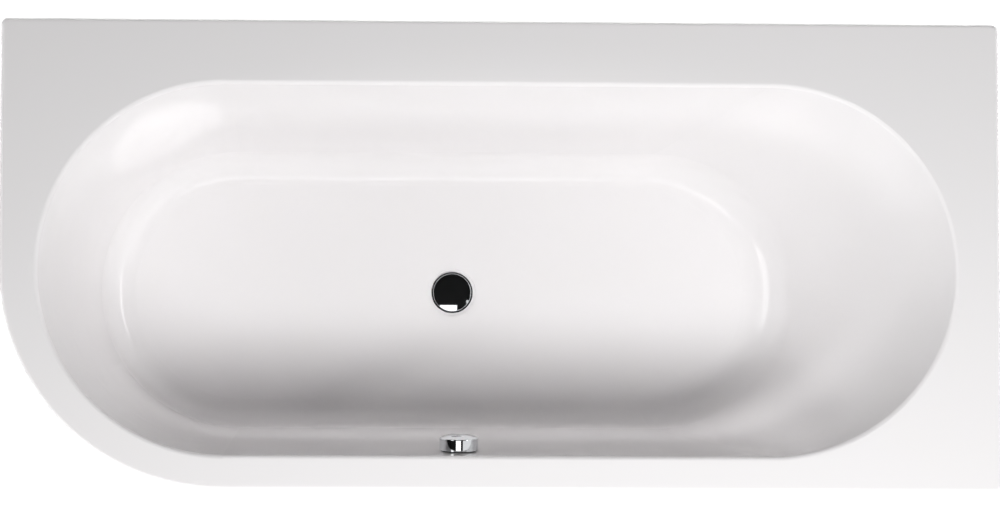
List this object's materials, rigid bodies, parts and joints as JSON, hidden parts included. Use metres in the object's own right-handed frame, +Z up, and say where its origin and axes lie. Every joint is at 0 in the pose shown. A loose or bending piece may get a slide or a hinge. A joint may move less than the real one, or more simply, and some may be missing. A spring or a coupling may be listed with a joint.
{
  "type": "asymmetric bathtub",
  "caption": "Built-in asymmetric bathtub with one large rounded corner, a sloped backrest, a domed pop-up plug worked by a turning overflow knob, and a levelling cradle.",
  "frame": {"origin": "on the room's floor, under the middle of the rim", "axes": "+X from the foot end to the backrest end, +Y to the wall behind the wide deck, +Z up"},
  "size_m": [1.7, 0.8, 0.6],
  "materials": {
    "acrylic": "gloss",
    "fibreglass": "matte",
    "chipboard": "matte",
    "batten_timber": "matte",
    "galvanised_steel": "satin",
    "leg_steel": "satin",
    "foot_plastic": "matte",
    "chrome": "mirror",
    "brass": "satin",
    "black_plastic": "matte",
    "white_plastic": "satin",
    "rubber": "matte",
    "cable_sheath": "satin"
  },
  "bodies": {
    "tub": {"tub_shell": "acrylic", "fibreglass_backing": "fibreglass", "base_board": "chipboard", "back_rim_batten": "batten_timber", "front_rim_batten": "batten_timber", "end_rim_batten": "batten_timber", "foot_end_rail": "galvanised_steel", "head_end_rail": "galvanised_steel", "rail_screws": "galvanised_steel", "leg_nuts": "galvanised_steel", "lever_pin": "galvanised_steel", "face_screws": "galvanised_steel", "waste_flange": "chrome", "stem_guide": "black_plastic", "overflow_face": "black_plastic", "cable_clips": "black_plastic", "waste_body": "white_plastic", "trap_nut": "white_plastic", "trap_body": "white_plastic", "trap_cup": "white_plastic", "overflow_body": "white_plastic", "overflow_pipe": "white_plastic", "pipe_nuts": "white_plastic", "waste_gasket": "rubber", "overflow_gasket": "rubber", "trap_washer": "rubber", "pipe_seals": "rubber", "pull_cable": "cable_sheath"},
    "plug": {"plug_cap": "chrome", "plug_carrier": "black_plastic", "plug_seal": "rubber", "plug_stem": "brass", "stem_nut": "galvanised_steel"},
    "lever": {"lift_lever": "black_plastic"},
    "knob": {"overflow_knob": "chrome", "knob_spindle": "brass", "knob_grub_screw": "galvanised_steel"},
    "leg_front_foot_end": {"leg_stud_front_foot_end": "leg_steel", "foot_pad_front_foot_end": "foot_plastic"},
    "leg_back_foot_end": {"leg_stud_back_foot_end": "leg_steel", "foot_pad_back_foot_end": "foot_plastic"},
    "leg_front_head_end": {"leg_stud_front_head_end": "leg_steel", "foot_pad_front_head_end": "foot_plastic"},
    "leg_back_head_end": {"leg_stud_back_head_end": "leg_steel", "foot_pad_back_head_end": "foot_plastic"}
  },
  "joints": [
    {"name": "knob_turn", "type": "hinge", "parent": "tub", "child": "knob", "pos_m": [-0.07, -0.32912, 0.534], "axis": [0, 0.9815, 0.1915], "range_deg": [0, 75]},
    {"name": "plug_lift", "type": "slide", "parent": "tub", "child": "plug", "axis": [0, 0, 1], "range_m": [0, 0.012]},
    {"name": "lever_tilt", "type": "hinge", "parent": "tub", "child": "lever", "pos_m": [-0.07, -0.05, 0.14], "axis": [1, 0, 0], "range_deg": [0, 28.95]},
    {"name": "leg_height_front_foot_end", "type": "slide", "parent": "tub", "child": "leg_front_foot_end", "axis": [0, 0, -1], "range_m": [-0.02, 0.03]},
    {"name": "leg_height_back_foot_end", "type": "slide", "parent": "tub", "child": "leg_back_foot_end", "axis": [0, 0, -1], "range_m": [-0.02, 0.03]},
    {"name": "leg_height_front_head_end", "type": "slide", "parent": "tub", "child": "leg_front_head_end", "axis": [0, 0, -1], "range_m": [-0.02, 0.03]},
    {"name": "leg_height_back_head_end", "type": "slide", "parent": "tub", "child": "leg_back_head_end", "axis": [0, 0, -1], "range_m": [-0.02, 0.03]}
  ],
  "couplings": [
    {"joint": "plug_lift", "follows": "knob_turn", "m_per_rad": 0.0091673},
    {"joint": "lever_tilt", "follows": "knob_turn", "ratio": 0.38606}
  ]
}
